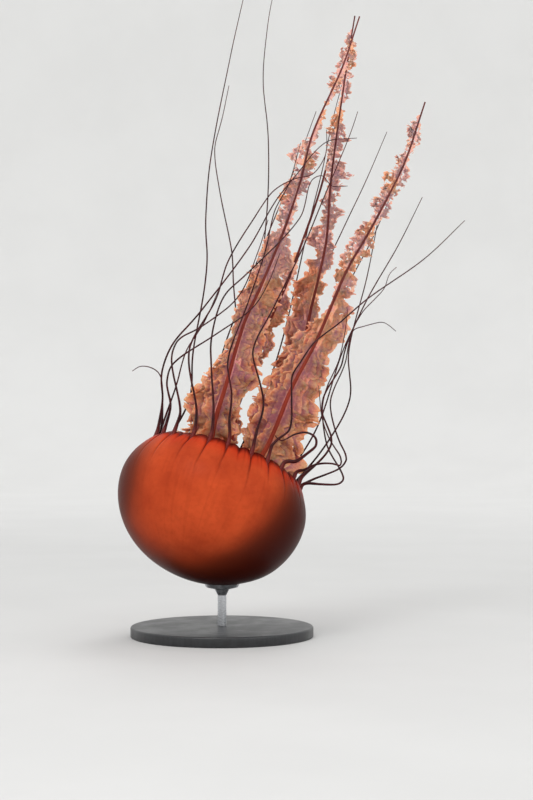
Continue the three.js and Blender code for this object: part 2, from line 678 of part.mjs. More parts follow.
/** A turned solid from a profile of [radius, height] that starts and ends on the axis. */
function turnedSolid(profile, sides) {
  const inner = profile.slice(1, -1);
  const rings = inner.map(([r, z]) =>
    Array.from({ length: sides }, (_, j) => {
      const a = (-2 * Math.PI * j) / sides;
      return point(r * Math.cos(a), r * Math.sin(a), z);
    }),
  );
  return toSolid(ringStack(point(0, 0, profile[0][1]), rings, point(0, 0, profile.at(-1)[1])));
}

function standBase() {
  return toGeometry(
    turnedSolid(
      [
        [0, 0],
        [BASE_RADIUS, 0],
        [BASE_RADIUS, BASE_THICKNESS - BASE_CHAMFER],
        [BASE_RADIUS - BASE_CHAMFER, BASE_THICKNESS],
        [0, BASE_THICKNESS],
      ],
      48,
    ),
  );
}

/** The bell's lowest height, where the cup holds it. */
function lowestOfBell() {
  const heights = outerRings(0).flat().map((p) => fromBell(p).z);
  return Math.min(...heights);
}

function standRod() {
  const lowest = lowestOfBell();
  const lip = lowest + CUP_LIP;
  const foot = BASE_THICKNESS + GAP;
  const rod = turnedSolid(
    [
      [0, foot],
      [ROD_RADIUS, foot],
      [ROD_RADIUS, lip - CUP_DEPTH - 8],
      [ROD_RADIUS + 4, lip - CUP_DEPTH],
      [CUP_RADIUS - 3, lip - CUP_DEPTH + 3],
      [CUP_RADIUS, lip],
      [0, lip],
    ],
    24,
  );
  const turn = new THREE.Matrix4().compose(
    BELL_CENTRE,
    new THREE.Quaternion().setFromEuler(bellTurn),
    point(1, 1, 1),
  );
  return toGeometry(rod.subtract(bellEnvelope(GAP).transform([...turn.elements])));
}

// ---------------------------------------------------------------- the model

const flesh = (color, roughness) => new THREE.MeshStandardMaterial({ color, roughness, metalness: 0 });
const MATERIALS = {
  bell: flesh(0xb8482a, 0.35),
  manubrium: flesh(0xc0714a, 0.5),
  arm: flesh(0xc98a62, 0.6),
  tentacle: flesh(0x4a1218, 0.4),
  base: flesh(0x1d1e20, 0.5),
  rod: new THREE.MeshStandardMaterial({ color: 0xb9bcc0, roughness: 0.3, metalness: 1 }),
};

function namedMesh(name, geometry, material) {
  const mesh = new THREE.Mesh(geometry, material);
  mesh.name = name;
  return mesh;
}

const arms = ORAL_ARMS.map(routeArm);
const tentacles = TENTACLES.map(routeTentacle);
keepClear(tentacles, arms);

const seaNettle = new THREE.Group();

const body = new THREE.Group();
body.position.copy(BELL_CENTRE);
body.rotation.copy(bellTurn);
const bell = tentacles.reduce((solid, tentacle) => solid.add(bulbSolid(tentacle)), bellShell());
["right", "front", "left", "back"].forEach((name, i) => {
  const middle = FIRST_GROUP - GROUP_PITCH / 2 + i * 2 * GROUP_PITCH;
  body.add(namedMesh(`bell_${name}`, bellQuarter(bell, middle), MATERIALS.bell));
});
body.add(namedMesh("manubrium", manubriumGeometry(), MATERIALS.manubrium));
seaNettle.add(body);

arms.forEach((arm, i) => seaNettle.add(...armMeshes(arm, `oral_arm_${i + 1}`, MATERIALS.arm)));
tentacles.forEach((tentacle, i) => {
  const number = String(i + 1).padStart(2, "0");
  seaNettle.add(...tentacleMeshes(tentacle, `tentacle_${number}`, MATERIALS.tentacle));
});

seaNettle.add(namedMesh("stand_base", standBase(), MATERIALS.base));
seaNettle.add(namedMesh("stand_rod", standRod(), MATERIALS.rod));

export default seaNettle;
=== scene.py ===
"""A life-size sea nettle jellyfish on a display stand: its skin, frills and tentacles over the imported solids.

Sizes are in millimetres, in the solids' own frame: +Z up, -Y towards the viewer. Meshes are scaled to metres
as they are made.
"""

import itertools
import math

import bpy
import numpy as np
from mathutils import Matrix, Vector


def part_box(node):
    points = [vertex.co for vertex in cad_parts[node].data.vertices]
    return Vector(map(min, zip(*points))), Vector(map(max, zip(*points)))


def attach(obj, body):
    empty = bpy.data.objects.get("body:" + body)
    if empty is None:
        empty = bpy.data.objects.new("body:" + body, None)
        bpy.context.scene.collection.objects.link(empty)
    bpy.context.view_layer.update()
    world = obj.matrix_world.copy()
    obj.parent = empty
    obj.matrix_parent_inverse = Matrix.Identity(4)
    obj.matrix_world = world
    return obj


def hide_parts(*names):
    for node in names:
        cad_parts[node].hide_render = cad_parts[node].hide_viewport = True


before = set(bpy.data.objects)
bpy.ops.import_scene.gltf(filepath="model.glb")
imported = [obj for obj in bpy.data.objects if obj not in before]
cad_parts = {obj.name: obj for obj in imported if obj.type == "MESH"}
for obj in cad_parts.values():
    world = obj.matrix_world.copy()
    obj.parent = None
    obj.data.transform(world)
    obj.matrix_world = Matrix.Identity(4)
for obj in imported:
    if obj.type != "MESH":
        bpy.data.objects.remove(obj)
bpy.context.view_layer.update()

MM = 0.001  # in metres

# -------- driving dimensions, as in the solids

# Angles up the bell's wall are in degrees above its widest ring, so the crown is at -90.
BELL_RADIUS = 130  # at the bell's widest ring
CROWN_DEPTH = 110  # from the widest ring down to the crown
SHOULDER_HEIGHT = 93.7  # vertical half axis of the ellipse above the widest ring
MARGIN_ANGLE = 34.2  # where that ellipse stops, at the clefts of the margin
LEAN_RIGHT = 19  # the mouth leans to +X, degrees
LEAN_BACK = 18  # and away from the viewer, degrees
BELL_CENTRE = np.array([-12.0, -12.0, 184.0])  # middle of the widest ring
MARGIN_THICKNESS = 4.5
WIDEST_THICKNESS = 9
CROWN_THICKNESS = 24
LAPPET_HEIGHT = 8
SEAT_ANGLE = -76  # the inside is flat from here to the axis
GAP = 0.3  # between meshes that touch

# Angles round the bell are in degrees from +X towards the viewer. Each of the eight groups holds three
# tentacles; the cleft between two groups holds a sense organ.
GROUPS = 8
GROUP_PITCH = 360 / GROUPS
FIRST_GROUP = 16.5
TENTACLE_PITCH = 13.5
# Where each numbered tentacle grows, those of the near side first.
TENTACLE_ANGLES = [
    3, 16.5, 30, 48, 61.5, 75, 93, 106.5, 120, 138, 151.5, 165, 183, 345,
    196.5, 210, 228, 241.5, 255, 273, 286.5, 300, 318, 331.5,
]
TENTACLE_SIDES = 5  # of the solids' strands

MANUBRIUM_RADIUS = 22
MANUBRIUM_TOP = -8  # above the widest ring, along the bell's axis

# Each oral arm: its root on the manubrium's end [right, back], the points that its stem passes through
# [right of the bell's centre, above it, behind it], and the reach of its two curtains at even steps.
ORAL_ARMS = [
    {
        "root": (-12, -10),
        "via": [(1, 99, -16), (19, 162, -20), (42, 241, -18), (64, 290, -16), (95, 365, -12),
                (118, 433, -8), (136, 502, -4), (176, 592, 4), (200, 663, 10)],
        "left": [7, 36, 46, 26, 13, 22, 18, 17, 22, 6, 7, 8, 4],
        "right": [7, 24, 31, 37, 31, 29, 31, 7, 13, 14, 8, 8, 4],
    },
    {
        "root": (12, -10),
        "via": [(67, 64, -7), (108, 157, -12), (139, 216, -14), (181, 313, -14), (212, 367, -12),
                (244, 427, -8), (262, 465, -4), (289, 545, 4)],
        "left": [7, 22, 38, 39, 33, 24, 7, 10, 18, 14, 20, 12, 4],
        "right": [7, 24, 50, 42, 37, 25, 26, 21, 14, 9, 10, 9, 4],
    },
    {
        "root": (12, 10),
        "via": [(62, 70, 25), (105, 139, 35), (133, 259, 36), (155, 357, 36), (161, 433, 36),
                (170, 506, 36), (186, 615, 38), (195, 670, 40)],
        "left": [7, 16, 28, 33, 31, 28, 22, 23, 9, 20, 8, 12, 4],
        "right": [7, 22, 26, 24, 20, 11, 12, 14, 22, 17, 10, 10, 4],
    },
    {
        "root": (-12, 10),
        "via": [(20, 70, 46), (35, 139, 66), (70, 234, 74), (98, 295, 76), (118, 347, 76),
                (148, 433, 76), (163, 493, 76), (174, 545, 76)],
        "left": [7, 20, 26, 26, 26, 24, 20, 18, 5, 4, 5, 6, 3],
        "right": [7, 14, 12, 6, 8, 18, 15, 12, 4, 4, 5, 6, 3],
    },
]
SIDES = {-1: "left", 1: "right"}
ARM_ROOT_LENGTH = 14  # an arm leaves the manubrium along the bell's axis for this far
# Waves in a curtain's reach: height as a share of it, length of a radian, and shift by arm and by side.
REACH_WAVES = [(0.08, 9.3, 1.7, 1), (0.06, 17, 1, 2.1)]
REACH_WAVES_GROWN = 60  # distance from the root where they have their full height
RUFFLE_WAVE = 37  # length of one fold along a curtain's edge
RUFFLE_SHARE = 0.38  # height of a fold, as a share of the curtain's reach
RUFFLE_POWER = 1.4  # how late a fold rises on its way out to the edge
RUFFLE_SLANT = 0.9  # radians that a fold has shifted by the edge
RUFFLE_SHIFTS = {-1: 0, 1: 1.9}  # radians by which the folds of either side are shifted
RUFFLES_GROWN = 45  # distance from the root where folds have their full height

# -------- finer sizes, made here

BELL_COLUMNS = 640  # points round the bell
FIRST_ANGLE = -89.5  # of the rows up the outer wall, next to the crown
LEVEL_ANGLE = 5  # rows are level up to here, and then rise to the lappets' edges
LEVEL_ROWS = 50
RISING_ROWS = 51
INNER_ROWS = 24  # level ones, on the inner wall
MARGIN_MM_PER_DEGREE = 1.86  # length of the outer wall at the margin
OUTER_ARC = 112  # radius that turns an angle on the outer wall into a distance along it
INNER_ARC = 105  # and on the inner wall
LAPPET_EDGE_THICKNESS = 1.7
FAINT_FURROWS = 60
FURROW_HALF_WIDTH = 1.7  # where a furrow is a third as deep as in its middle
FURROW_SHADE_HALF_WIDTH = 1.1  # and where it is a third as dark
FURROW_WANDER = 1.6
BROAD_UNEVENNESS = 2.0
LAPPET_PUFF = 1.1  # how far a lappet swells out
LAPPET_PUFF_LENGTH = 12  # from its edge to the middle of the swelling
FINE_UNEVENNESS = 0.35
INNER_FOLDS = 48
INNER_FOLD_HEIGHT = 0.9

MANUBRIUM_SIDES = 96
MANUBRIUM_ROWS = 70
MANUBRIUM_SUNK = 1.5  # into the bell's inside, at its seat
MANUBRIUM_PROUD = 1.0  # past its solid's end, over the oral arms' roots
# Shares of the way up the manubrium, and its radius there, as a share of MANUBRIUM_RADIUS.
MANUBRIUM_SWELL = [(0, 1.5), (0.1, 1.12), (0.3, 0.86), (0.55, 0.82), (0.85, 0.97), (1, 1.08)]

# Distances from an oral arm's root, and its stem's full width there.
STEM_WIDTHS = [(0, 11), (60, 7.8), (120, 6.0), (200, 5.1), (300, 4.2), (420, 3.3), (600, 2.4), (760, 1.8)]
STEM_DEPTH = 0.36  # half a stem's depth, as a share of its width
STEM_STEP = 3
STEM_SIDES = 16
STEM_SUNK = 6  # into the manubrium
HEADING_REACH = 6  # distance either side over which an arm's direction is taken

CURTAIN_THICKNESS = 0.5
CURTAIN_STEP = 1.2  # along an arm's stem
CURTAIN_COLUMNS = 27
CURTAIN_SHARE = 0.87  # of the solid's reach, before its edge is made ragged
CURTAIN_ROOT = 0.3  # where a curtain starts inside the stem, as a share of the stem's width
CURTAIN_FOLD_SHARE = 0.6  # of the solid's folds; the ruffles below make up for the rest
# Ruffles on the curtains: wavelength, height at the edge, and how quickly they fade towards the stem.
CURTAIN_RUFFLES = [(32, 3.2, 1.1), (14, 1.1, 1.4), (7, 0.4, 2.0)]
BROAD_CURTAIN = 24  # reach from which ruffles have their full height
LEAST_CURTAIN = 2.5  # a curtain that reaches less is left out

# Flounces lie on both faces of a curtain, each out over the root of the next. Their roots and their height
# are shares of the curtain's reach.
FLOUNCE_ROOTS = [0.1, 0.34, 0.6, 0.86]
FLOUNCE_HEIGHT = 0.36
FLOUNCE_LEAN = 13  # degrees off the curtain
FLOUNCE_CURL = 0.16  # how far its edge curls off its own plane, as a share of its height
FLOUNCE_SUNK = 0.8  # into the curtain
# Lengths of a flounce's lobes at even steps along the arm.
FLOUNCE_LOBES = [21, 21, 17, 10, 8, 8]
FLOUNCE_COLUMNS = 7
# Ruffles on a flounce: wavelength, and height at the edge.
FLOUNCE_RUFFLES = [(17, 1.4), (7, 0.5)]
TALL_FLOUNCE = 7  # height from which ruffles have their full height
LEAST_FLOUNCE = 1.8  # a flounce that stands less is left out

TENTACLE_STEP = 2.2
TENTACLE_SKIN_SIDES = 10
ROOT_ANGLE = MARGIN_ANGLE - 7  # up the bell's wall, where a tentacle starts inside it
ROOT_RADIUS = 0.8  # of a tentacle, there
CLEFT_RADIUS = 3.5  # of a tentacle, in its cleft
LEAST_RING_STEP = 1.0  # a solid's ring that lies closer to the one before is left out

BASE_EDGE = 2.5  # radius of the rounding round the stand's top
BASE_CHAMFER = 1  # under the stand

FLOOR_REACH = 5600
FLOOR_BEND = 1600  # radius of the curve from the floor up to the wall
FLOOR_STEP = 400  # between rings on the flat
WALL_TOP = 3000
LIGHT_AIM = (60, 0, 420)  # about the middle of the jellyfish
WORLD_LIGHT = 0.95

PHOTO_HEIGHT = 800  # pixels
PHOTO_SCALE = 1.361  # millimetres for each pixel, at the bell
PHOTO_MIDDLE = (53.5, 102)  # pixels right of the bell's centre and above it
CAMERA_DISTANCE = 2500
SENSOR = 36  # along the picture's height

# -------- numbers

LATTICE_SIZE = 32
LATTICE = np.random.default_rng(11).uniform(-1, 1, [LATTICE_SIZE] * 3)


def noise(*axes):
    """Smooth noise from -1 to 1, with one feature per unit along each of three axes.

    An axis with the same number all over only picks a place in the noise, so that two shapes differ.
    """
    points = np.stack(np.broadcast_arrays(*axes), axis=-1).astype(float)
    cell = np.floor(points).astype(int)
    part = points - cell
    part = part * part * (3 - 2 * part)
    total = 0
    for corner in itertools.product((0, 1), repeat=3):
        share = np.prod(np.where(corner, part, 1 - part), axis=-1)
        i, j, k = np.moveaxis((cell + corner) % LATTICE_SIZE, -1, 0)
        total = total + share * LATTICE[i, j, k]
    return total


def smoothstep(value, first, last):
    """0 where the value is first, 1 where it is last, and a smooth change between them."""
    t = np.clip((value - first) / (last - first), 0, 1)
    return t * t * (3 - 2 * t)


def unit(vectors):
    return vectors / np.linalg.norm(vectors, axis=-1, keepdims=True)


def along(values, t):
    """The values, given at even steps, at shares t of the way."""
    return np.interp(t, np.linspace(0, 1, len(values)), values)


def distances_along(points):
    """How far each point of a line is from the first, along the line."""
    return np.concatenate([[0], np.cumsum(np.linalg.norm(np.diff(points, axis=0), axis=1))])


def smooth_line(points):
    """A smooth line through the points, as short steps along a cubic curve between each two."""
    points = np.array(points, float)
    at = distances_along(points)
    before = np.maximum(np.arange(len(points)) - 1, 0)
    after = np.minimum(np.arange(len(points)) + 1, len(points) - 1)
    slopes = (points[after] - points[before]) / (at[after] - at[before])[:, None]
    steps = 12
    t = (np.arange(steps) / steps)[:, None]
    line = []
    for i, span in enumerate(np.diff(at)):
        line.append(
            points[i] * (2 * t**3 - 3 * t**2 + 1)
            + slopes[i] * span * (t**3 - 2 * t**2 + t)
            + points[i + 1] * (3 * t**2 - 2 * t**3)
            + slopes[i + 1] * span * (t**3 - t**2)
        )
    return np.concatenate([*line, points[-1:]])


def even_samples(line, step):
    """Points about step apart along a line, and their distances from its start."""
    at = distances_along(line)
    distances = np.linspace(0, at[-1], round(at[-1] / step) + 1)
    samples = np.stack([np.interp(distances, at, line[:, k]) for k in range(3)], axis=1)
    return samples, distances


def headings(samples, reach):
    """Unit directions along a line, each taken over reach samples either side."""
    index = np.arange(len(samples))
    after = samples[np.minimum(index + reach, len(samples) - 1)]
    return unit(after - samples[np.maximum(index - reach, 0)])


def evened(vectors, reach):
    """Vectors along a line, each averaged with reach neighbours either side."""
    padded = np.pad(vectors, ((reach, reach), (0, 0)), mode="edge")
    return sum(padded[k:k + len(vectors)] for k in range(2 * reach + 1)) / (2 * reach + 1)


def turn_between(axis, other, degrees):
    """The matrix that turns one axis, given by its number, towards another."""
    turn = np.eye(3)
    turn[axis, axis] = turn[other, other] = math.cos(math.radians(degrees))
    turn[other, axis] = math.sin(math.radians(degrees))
    turn[axis, other] = -turn[other, axis]
    return turn


# From the bell's own frame, whose +Z runs from crown to mouth, to the solids' frame.
BELL_TURN = turn_between(2, 0, LEAN_RIGHT) @ turn_between(2, 1, LEAN_BACK)
BELL_AXIS = BELL_TURN[:, 2]


def from_bell(points):
    """Points of the bell's own frame in the solids' frame."""
    return np.asarray(points, float) @ BELL_TURN.T + BELL_CENTRE


# -------- meshes


def add_object(name, data):
    made = bpy.data.objects.new(name, data)
    bpy.context.scene.collection.objects.link(made)
    return made


def mesh_piece(name, points, faces, material, values=None):
    """A smooth-shaded mesh piece from points in millimetres, with named numbers at each point."""
    mesh = bpy.data.meshes.new(name)
    mesh.from_pydata((np.asarray(points) * MM).tolist(), [], [list(map(int, face)) for face in faces])
    mesh.polygons.foreach_set("use_smooth", [True] * len(mesh.polygons))
    for key, numbers in (values or {}).items():
        layer = mesh.attributes.new(key, "FLOAT", "POINT")
        layer.data.foreach_set("value", np.asarray(numbers, np.float32).ravel())
    mesh.materials.append(material)
    mesh.update()
    return add_object(name, mesh)


def part_piece(piece, slot, *nodes):
    """Makes a piece part of the object: it rides on the root, and the solids that it stands for are hidden."""
    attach(piece, "root")
    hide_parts(*nodes)


def grid_faces(rows, columns, closed=False):
    """Quads of a grid of points, closed round its columns or not."""
    across = columns if closed else columns - 1
    i, j = np.meshgrid(np.arange(rows - 1), np.arange(across), indexing="ij")
    here, beside = i * columns + j, i * columns + (j + 1) % columns
    return np.stack([here, beside, beside + columns, here + columns], axis=-1).reshape(-1, 4)


def capped(rings):
    """Points and faces of a closed body through rings of points, with a fan to a middle point at each end."""
    rows, columns = rings.shape[:2]
    points = np.concatenate([rings.reshape(-1, 3), [rings[0].mean(axis=0)], [rings[-1].mean(axis=0)]])
    faces = list(grid_faces(rows, columns, closed=True))
    first, last = rows * columns, rows * columns + 1
    top = (rows - 1) * columns
    for j in range(columns):
        k = (j + 1) % columns
        faces += [(first, k, j), (last, top + j, top + k)]
    return points, faces


def capped_values(rows, columns):
    """Numbers for every point that capped() makes, from a number or a row of numbers for each ring."""
    rows = np.broadcast_to(rows.reshape(len(rows), -1), (len(rows), columns))
    return np.concatenate([rows.ravel(), rows[0, :1], rows[-1, :1]])


def round_angles(sides):
    return np.linspace(0, 2 * np.pi, sides, endpoint=False)


def tube_rings(samples, half_widths, half_depths, across, front, sides):
    """Rings of an oval section along a line."""
    turn = round_angles(sides)
    return (
        samples[:, None]
        + across[:, None] * (half_widths[:, None] * np.cos(turn))[..., None]
        + front[:, None] * (half_depths[:, None] * np.sin(turn))[..., None]
    )


def turned_rings(profile, sides):
    """Rings round the upright axis through the origin, one for each [radius, height] of a profile."""
    return np.array([
        [(r * math.cos(a), r * math.sin(a), z) for a in round_angles(sides)] for r, z in profile
    ])


# -------- materials


def linear(level):
    """A level of 0 to 255 on an sRGB screen, as an amount of light from 0 to 1."""
    share = level / 255
    return share / 12.92 if share <= 0.04045 else ((share + 0.055) / 1.055) ** 2.4


def new_material(name, **inputs):
    """A material, its node tree and its one shader, with the shader's plain inputs set."""
    material = bpy.data.materials.new(name)
    material.use_nodes = True
    shader = material.node_tree.nodes["Principled BSDF"]
    for socket, value in inputs.items():
        shader.inputs[socket.replace("_", " ")].default_value = value
    return material, material.node_tree, shader


def add_node(tree, kind, inputs=None, **settings):
    """A shader node with its settings, and its inputs set to numbers or linked to other nodes' outputs."""
    node = tree.nodes.new("ShaderNode" + kind)
    for key, value in settings.items():
        setattr(node, key, value)
    for socket, value in (inputs or {}).items():
        if isinstance(value, bpy.types.NodeSocket):
            tree.links.new(value, node.inputs[socket])
        else:
            node.inputs[socket].default_value = value
    return node


def attribute(tree, name):
    """The named numbers that mesh_piece() gives the points of a mesh."""
    return add_node(tree, "Attribute", attribute_name=name).outputs["Fac"]


def mix_colours(tree, factor, *colours):
    """A mix of two colours, each the output of a node or the levels of red, green and blue on a screen."""
    first, second = ((*map(linear, c), 1) if isinstance(c, tuple) else c for c in colours)
    # The Mix node has sockets for each type of data: 6 and 7 are its two colours, and 2 is their mix.
    return add_node(tree, "Mix", {0: factor, 6: first, 7: second}, data_type="RGBA").outputs[2]


def layered(tree, body, *layers):
    """A colour with others laid over it in turn, each given after the share that it takes."""
    for share, over in layers:
        body = mix_colours(tree, share, body, over)
    return body


def spread(tree, value, low, high, to_low=0.0, to_high=1.0):
    """A value's range from low to high, smoothly spread from to_low to to_high."""
    inputs = {"Value": value, "From Min": low, "From Max": high, "To Min": to_low, "To Max": to_high}
    return add_node(tree, "MapRange", inputs, interpolation_type="SMOOTHSTEP").outputs["Result"]


def texture(tree, scale, detail, stretch=(1, 1, 1)):
    """Noise over the object, with about scale features in a metre."""
    place = add_node(tree, "TexCoord").outputs["Object"]
    place = add_node(tree, "Mapping", {"Vector": place, "Scale": stretch}).outputs["Vector"]
    inputs = {"Vector": place, "Scale": scale, "Detail": detail, "Roughness": 0.55}
    return add_node(tree, "TexNoise", inputs).outputs["Fac"]


def dress(tree, shader, body, relief, distance, strength):
    """Gives a shader its colour, and a relief that stands a distance in metres where it is 1."""
    tree.links.new(body, shader.inputs["Base Color"])
    inputs = {"Height": relief, "Distance": distance, "Strength": strength}
    tree.links.new(add_node(tree, "Bump", inputs).outputs["Normal"], shader.inputs["Normal"])


def jelly(**changes):
    """Shader settings for wet flesh that light goes into."""
    return {
        "Subsurface_Weight": 0.3,
        "Subsurface_Radius": (1.0, 0.32, 0.16),
        "Subsurface_Scale": 0.01,
        "Roughness": 0.4,
        "IOR": 1.38,
        "Specular_IOR_Level": 0.35,
        **changes,
    }


def bell_material():
    """Mottled orange flesh and a red band, with painted shade: brown low down and on the flanks, near black at
    the edge and in furrows.
    """
    settings = jelly(Subsurface_Weight=0.15, Subsurface_Scale=0.004, Roughness=0.36, Specular_IOR_Level=0.05)
    material, tree, shader = new_material("bell_flesh", **settings)
    mottle = spread(tree, texture(tree, 11, 5), 0.3, 0.7)
    freckle = texture(tree, 170, 4)
    shade, from_margin = attribute(tree, "shade"), attribute(tree, "from_margin")
    rust = (120, 34, 16)
    body = layered(
        tree,
        mix_colours(tree, mottle, (168, 60, 30), (206, 82, 42)),
        (spread(tree, freckle, 0.45, 0.7, 0.0, 0.12), rust),
        (spread(tree, attribute(tree, "fibre"), 0.0, 0.6, 0.0, 0.1), rust),
        # Painted shade, brown and then near black, low down, on both flanks and on the left shoulder.
        (spread(tree, shade, 0.0, 0.7), (106, 40, 22)),
        (spread(tree, shade, 0.4, 1.0), (56, 15, 9)),
        (spread(tree, from_margin, 4.0, 42.0, 0.75, 0.0), (176, 38, 14)),
        # Painted shade along the margin: a near black band at its edge.
        (spread(tree, from_margin, 2.0, 18.0, 0.95, 0.0), (72, 10, 5)),
        # Painted shade in the furrows.
        (attribute(tree, "furrow"), (48, 6, 5)),
        (attribute(tree, "inside"), mix_colours(tree, mottle, (128, 42, 22), (156, 62, 36))),
    )
    dress(tree, shader, body, texture(tree, 900, 2), 0.0004, 0.35)
    return material


def stem_material():
    """Streaked flesh that darkens along the arm."""
    material, tree, shader = new_material("arm_stem", **jelly(Subsurface_Scale=0.004, Subsurface_Weight=0.15))
    streak = spread(tree, texture(tree, 60, 3, stretch=(1, 1, 0.15)), 0.3, 0.7)
    near = mix_colours(tree, streak, (130, 40, 24), (160, 58, 34))
    far = mix_colours(tree, streak, (76, 24, 24), (106, 42, 36))
    body = mix_colours(tree, spread(tree, attribute(tree, "distance"), 120.0, 420.0), near, far)
    dress(tree, shader, body, texture(tree, 500, 2), 0.0003, 0.4)
    return material


def frill_material():
    """Mauve membrane, paler along the arm, with orange edges, thick orange patches, a frothy grain and painted
    shade in its folds.
    """
    settings = jelly(
        Subsurface_Weight=1.0,
        Subsurface_Scale=0.005,
        Subsurface_Radius=(1.0, 0.75, 0.62),
        Roughness=0.6,
        Specular_IOR_Level=0.2,
    )
    material, tree, shader = new_material("frill", **settings)
    cloud = spread(tree, texture(tree, 30, 3), 0.36, 0.64)
    crumb = spread(tree, texture(tree, 200, 3), 0.35, 0.65)
    froth = texture(tree, 300, 2)
    edge = mix_colours(tree, crumb, (233, 130, 90), (245, 158, 118))
    thick = mix_colours(tree, crumb, (227, 116, 72), (241, 142, 96))
    body = layered(
        tree,
        mix_colours(tree, cloud, (166, 88, 102), (200, 108, 104)),
        (spread(tree, attribute(tree, "edge"), 0.1, 1.0), edge),
        (spread(tree, attribute(tree, "distance"), 170.0, 440.0, 0.0, 0.62), (206, 148, 150)),
        (spread(tree, texture(tree, 24, 3), 0.5, 0.6, 0.0, 0.75), thick),
        # Painted shade where the folds dip.
        (spread(tree, attribute(tree, "fold"), 0.0, -1.0, 0.0, 0.2), (182, 78, 66)),
        (spread(tree, froth, 0.5, 0.68, 0.0, 0.3), (250, 160, 112)),
        (spread(tree, froth, 0.48, 0.32, 0.0, 0.2), (160, 62, 62)),
    )
    dress(tree, shader, body, froth, 0.0008, 0.4)
    return material


def tentacle_material():
    """Dark maroon strands, redder at the root."""
    material, tree, shader = new_material("tentacle", **jelly(Subsurface_Weight=0.05))
    mottle = spread(tree, texture(tree, 40, 2), 0.3, 0.7)
    strand = mix_colours(tree, mottle, (38, 4, 10), (66, 10, 14))
    body = mix_colours(tree, spread(tree, attribute(tree, "distance"), 0.0, 26.0), (100, 15, 8), strand)
    dress(tree, shader, body, texture(tree, 900, 1), 0.0003, 0.5)
    return material


def manubrium_material():
    material, tree, shader = new_material("manubrium", **jelly())
    streak = spread(tree, texture(tree, 50, 3, stretch=(1, 1, 0.3)), 0.3, 0.7)
    body = mix_colours(tree, streak, (168, 70, 36), (196, 104, 62))
    dress(tree, shader, body, texture(tree, 300, 2), 0.0006, 0.4)
    return material


def painted_wood():
    material, tree, shader = new_material("painted_wood", Roughness=0.45, Coat_Weight=0.2, Coat_Roughness=0.3)
    grain = texture(tree, 60, 4, stretch=(1, 12, 1))
    body = mix_colours(tree, spread(tree, grain, 0.35, 0.65), (33, 34, 36), (42, 43, 46))
    tree.links.new(spread(tree, texture(tree, 30, 3), 0.3, 0.7, 0.38, 0.52), shader.inputs["Roughness"])
    dress(tree, shader, body, grain, 0.0004, 0.25)
    return material


def brushed_steel():
    material, tree, shader = new_material("brushed_steel", Metallic=1.0)
    lines = texture(tree, 160, 4, stretch=(1, 1, 14))
    body = mix_colours(tree, spread(tree, lines, 0.3, 0.7), (186, 188, 192), (208, 210, 214))
    tree.links.new(spread(tree, lines, 0.3, 0.7, 0.24, 0.4), shader.inputs["Roughness"])
    dress(tree, shader, body, lines, 0.0002, 0.3)
    return material


def floor_material():
    """Pale all over, with painted shade under the object, where the light is strongest, and painted light out
    towards the wall.
    """
    material, tree, shader = new_material("floor", Roughness=0.85)
    mottle = spread(tree, texture(tree, 3, 3), 0.3, 0.7)
    near = mix_colours(tree, mottle, (198, 198, 197), (201, 201, 200))
    far = mix_colours(tree, mottle, (237, 237, 236), (240, 240, 239))
    # Painted shade near the object and painted light out towards the wall, to even out the light.
    body = mix_colours(tree, spread(tree, attribute(tree, "away"), 0.8, 4.2), near, far)
    tree.links.new(body, shader.inputs["Base Color"])
    return material


# -------- bell

COLUMN_ANGLES = np.arange(BELL_COLUMNS) * 360 / BELL_COLUMNS


def outer_wall(angle, extra=0.0):
    """Radius and height of the bell's outer wall at an angle above its widest ring, grown out by extra."""
    depth = np.where(angle < 0, CROWN_DEPTH, SHOULDER_HEIGHT)
    c, s = np.cos(np.radians(angle)), np.sin(np.radians(angle))
    normal_r, normal_z = c / BELL_RADIUS, s / depth
    size = np.hypot(normal_r, normal_z)
    return BELL_RADIUS * c + normal_r / size * extra, depth * s + normal_z / size * extra


def wall_thickness(angle):
    low = WIDEST_THICKNESS + (CROWN_THICKNESS - WIDEST_THICKNESS) * (angle / 90) ** 2
    high = WIDEST_THICKNESS + (MARGIN_THICKNESS - WIDEST_THICKNESS) * angle / MARGIN_ANGLE
    return np.where(angle < 0, low, high)


def lappet_lift(degrees):
    """How far the margin stands past its clefts, as a share of a lappet's height."""
    out = np.abs((degrees - FIRST_GROUP + GROUP_PITCH / 2) % GROUP_PITCH - GROUP_PITCH / 2)
    # The clefts between a group's tentacles are deep, and those at the sense organs are shallower.
    inner = 1 - np.abs(2 * out / TENTACLE_PITCH - 1) ** 2.6
    x = (out - TENTACLE_PITCH) / (GROUP_PITCH / 2 - TENTACLE_PITCH)
    outer = np.maximum(0.9 * (1 - np.abs(2 * x - 1) ** 2.2), 0.25 * x**3)
    return np.where(out < TENTACLE_PITCH, inner, outer)


def bell_rings(radius, height):
    """Rings of points in the bell's own frame, from the radius and height of each row at every column."""
    turn = np.radians(COLUMN_ANGLES)
    return np.stack([radius * np.cos(turn), -radius * np.sin(turn), height], axis=-1)


def bell_rows():
    """Angles up the wall at every column: of the outer rows, the inner rows, and the margin."""
    margin = MARGIN_ANGLE + lappet_lift(COLUMN_ANGLES) * LAPPET_HEIGHT / MARGIN_MM_PER_DEGREE
    level = np.linspace(FIRST_ANGLE, LEVEL_ANGLE, LEVEL_ROWS)[:, None] + 0 * margin
    rising = LEVEL_ANGLE + (margin - LEVEL_ANGLE) * np.linspace(0, 1, RISING_ROWS + 1)[1:, None]
    within = np.linspace(LEVEL_ANGLE - 2, SEAT_ANGLE, INNER_ROWS)[:, None] + 0 * margin
    return np.concatenate([level, rising]), np.concatenate([rising[::-3], within]), margin


